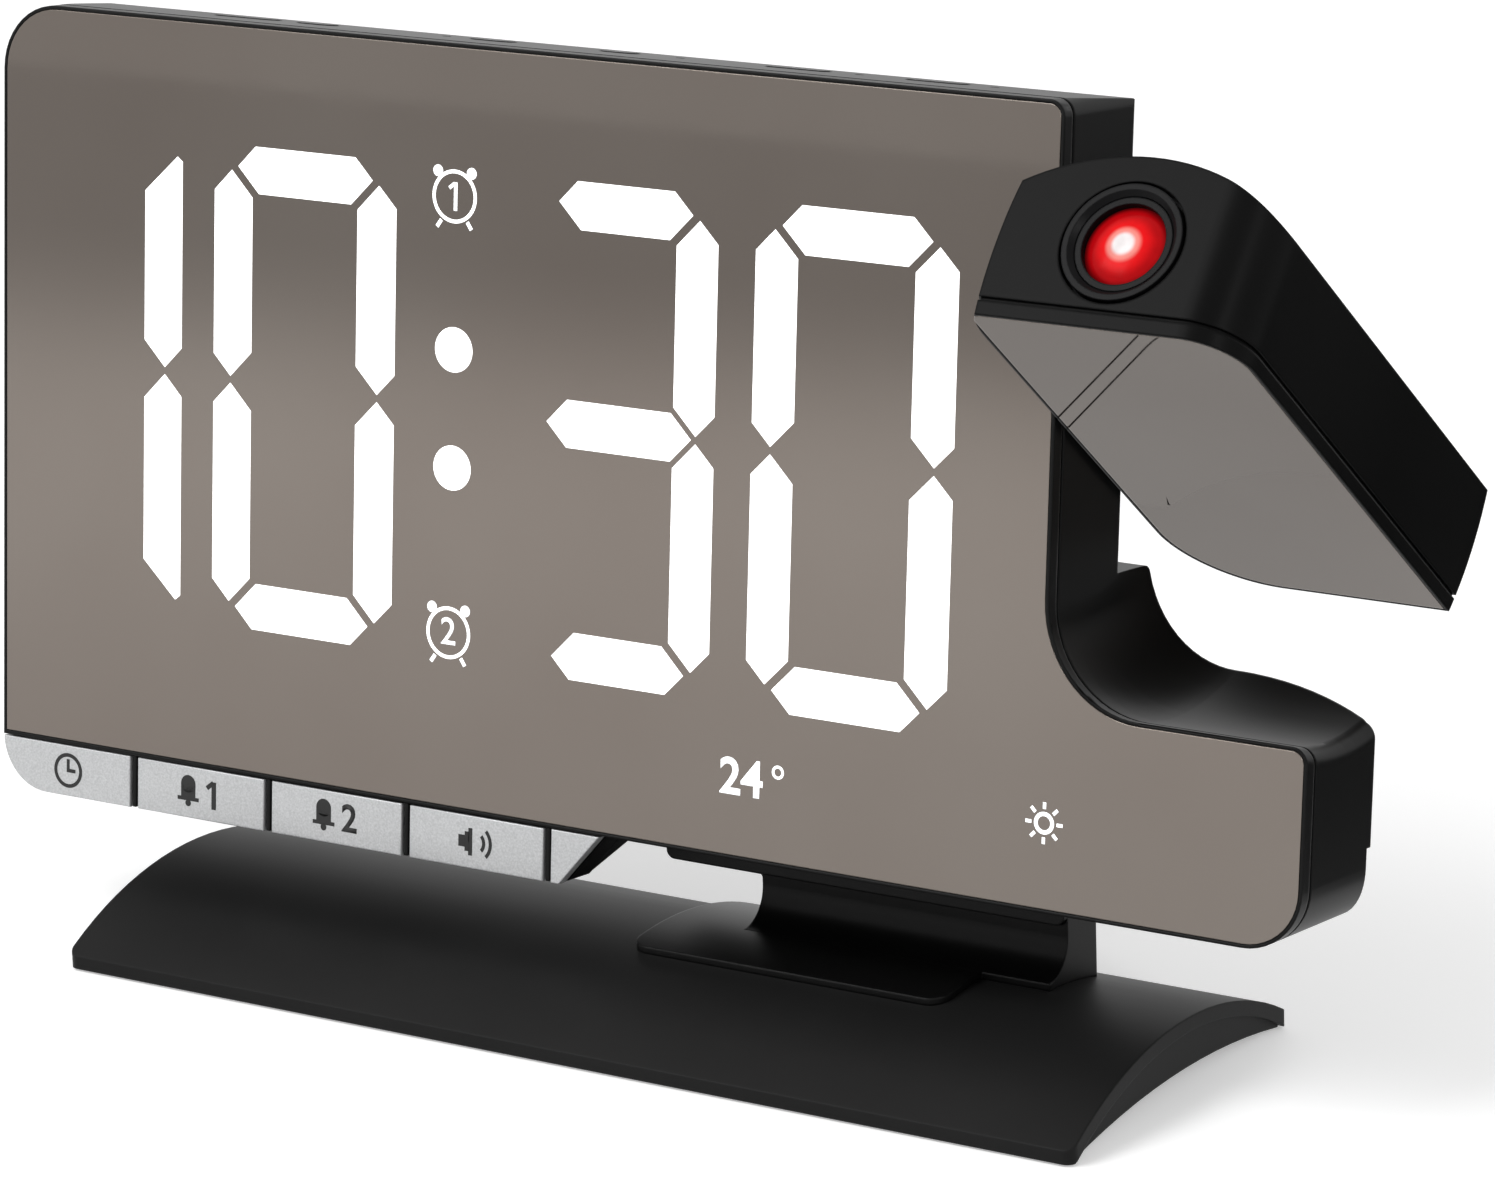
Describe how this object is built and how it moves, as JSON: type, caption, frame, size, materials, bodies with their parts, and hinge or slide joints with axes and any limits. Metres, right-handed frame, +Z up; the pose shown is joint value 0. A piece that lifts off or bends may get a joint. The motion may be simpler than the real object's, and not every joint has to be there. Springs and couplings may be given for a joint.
{
  "type": "projection alarm clock",
  "caption": "Bedside clock with a wide mirror display on an arched foot, and a swivelling projector head with a focus ring at its side.",
  "frame": {"origin": "on the table under the middle of the whole clock's box, with the head tilted as at rest", "axes": "+X to the right seen from the front, -Y towards the viewer, the way the mirror faces, +Z up from the table"},
  "size_m": [0.19, 0.0678, 0.1186],
  "materials": {
    "housing": "satin",
    "mirror": "gloss",
    "display": "gloss",
    "light_box": "matte",
    "board": "gloss",
    "led": "gloss",
    "key_silver": "satin",
    "key_black": "satin",
    "switch": "matte",
    "steel": "satin",
    "contact": "satin",
    "pads": "matte",
    "projector_black": "satin",
    "lens": "gloss",
    "clear": "gloss",
    "projector_led": "gloss"
  },
  "bodies": {
    "clock": {"front_frame": "housing", "rear_shell": "housing", "mirror_panel": "mirror", "digit_windows": "display", "light_box": "light_box", "display_board": "board", "display_leds": "led", "strip_end": "key_silver", "key_board": "board", "key_switches": "switch", "top_board": "board", "top_switches": "switch", "speaker": "switch", "main_board": "board", "usb_port": "steel", "dc_jack": "switch", "battery_tray": "switch", "coin_cell": "steel", "battery_contact": "contact", "battery_door": "housing", "door_screw": "steel", "case_screws": "steel", "neck": "housing", "neck_screws": "steel", "base_shell": "housing", "base_cover": "housing", "base_weight": "steel", "base_screws": "steel", "rubber_pads": "pads", "wave_washer": "steel"},
    "head": {"head_shell": "housing", "head_bezel": "housing", "head_mirror": "mirror", "pivot_shaft": "projector_black", "snap_ring": "steel", "projector_tube": "projector_black", "led_board": "board", "projector_led": "projector_led", "condenser": "clear", "lcd_slide": "clear", "head_screws": "steel"},
    "focus": {"focus_ring": "projector_black"},
    "lens": {"lens_barrel": "projector_black", "projection_lens": "lens"},
    "front_key_1_body": {"front_key_1": "key_silver"},
    "front_key_2_body": {"front_key_2": "key_silver"},
    "front_key_3_body": {"front_key_3": "key_silver"},
    "front_key_4_body": {"front_key_4": "key_silver"},
    "snooze_bar_body": {"snooze_bar": "key_black"},
    "top_key_1_body": {"top_key_1": "key_black"},
    "top_key_2_body": {"top_key_2": "key_black"},
    "top_key_3_body": {"top_key_3": "key_black"},
    "top_key_4_body": {"top_key_4": "key_black"},
    "top_key_5_body": {"top_key_5": "key_black"}
  },
  "joints": [
    {"name": "head_swivel", "type": "hinge", "parent": "clock", "child": "head", "pos_m": [0.0606, -0.00246, 0.08522], "axis": [1, 0, 0], "range_deg": [-146, 34]},
    {"name": "focus_turn", "type": "hinge", "parent": "head", "child": "focus", "pos_m": [0.07765, -0.02462, 0.10735], "axis": [0, -0.766, 0.6428], "range_deg": [-90, 90]},
    {"name": "lens_slide", "type": "slide", "parent": "head", "child": "lens", "axis": [0, -0.766, 0.6428], "range_m": [-0.0005, 0.0005]},
    {"name": "front_key_1_press", "type": "slide", "parent": "clock", "child": "front_key_1_body", "axis": [0, 0.9945, -0.1045], "range_m": [0, 0.0006], "stiffness_N_per_m": 400},
    {"name": "front_key_2_press", "type": "slide", "parent": "clock", "child": "front_key_2_body", "axis": [0, 0.9945, -0.1045], "range_m": [0, 0.0006], "stiffness_N_per_m": 400},
    {"name": "front_key_3_press", "type": "slide", "parent": "clock", "child": "front_key_3_body", "axis": [0, 0.9945, -0.1045], "range_m": [0, 0.0006], "stiffness_N_per_m": 400},
    {"name": "front_key_4_press", "type": "slide", "parent": "clock", "child": "front_key_4_body", "axis": [0, 0.9945, -0.1045], "range_m": [0, 0.0006], "stiffness_N_per_m": 400},
    {"name": "snooze_bar_press", "type": "slide", "parent": "clock", "child": "snooze_bar_body", "axis": [0, -0.1822, -0.9833], "range_m": [0, 0.0006], "stiffness_N_per_m": 400},
    {"name": "top_key_1_press", "type": "slide", "parent": "clock", "child": "top_key_1_body", "axis": [0, -0.1822, -0.9833], "range_m": [0, 0.0006], "stiffness_N_per_m": 400},
    {"name": "top_key_2_press", "type": "slide", "parent": "clock", "child": "top_key_2_body", "axis": [0, -0.1822, -0.9833], "range_m": [0, 0.0006], "stiffness_N_per_m": 400},
    {"name": "top_key_3_press", "type": "slide", "parent": "clock", "child": "top_key_3_body", "axis": [0, -0.1822, -0.9833], "range_m": [0, 0.0006], "stiffness_N_per_m": 400},
    {"name": "top_key_4_press", "type": "slide", "parent": "clock", "child": "top_key_4_body", "axis": [0, -0.1822, -0.9833], "range_m": [0, 0.0006], "stiffness_N_per_m": 400},
    {"name": "top_key_5_press", "type": "slide", "parent": "clock", "child": "top_key_5_body", "axis": [0, -0.1822, -0.9833], "range_m": [0, 0.0006], "stiffness_N_per_m": 400}
  ],
  "couplings": [
    {"joint": "focus_turn", "follows": "lens_slide", "rad_per_m": 3140}
  ]
}
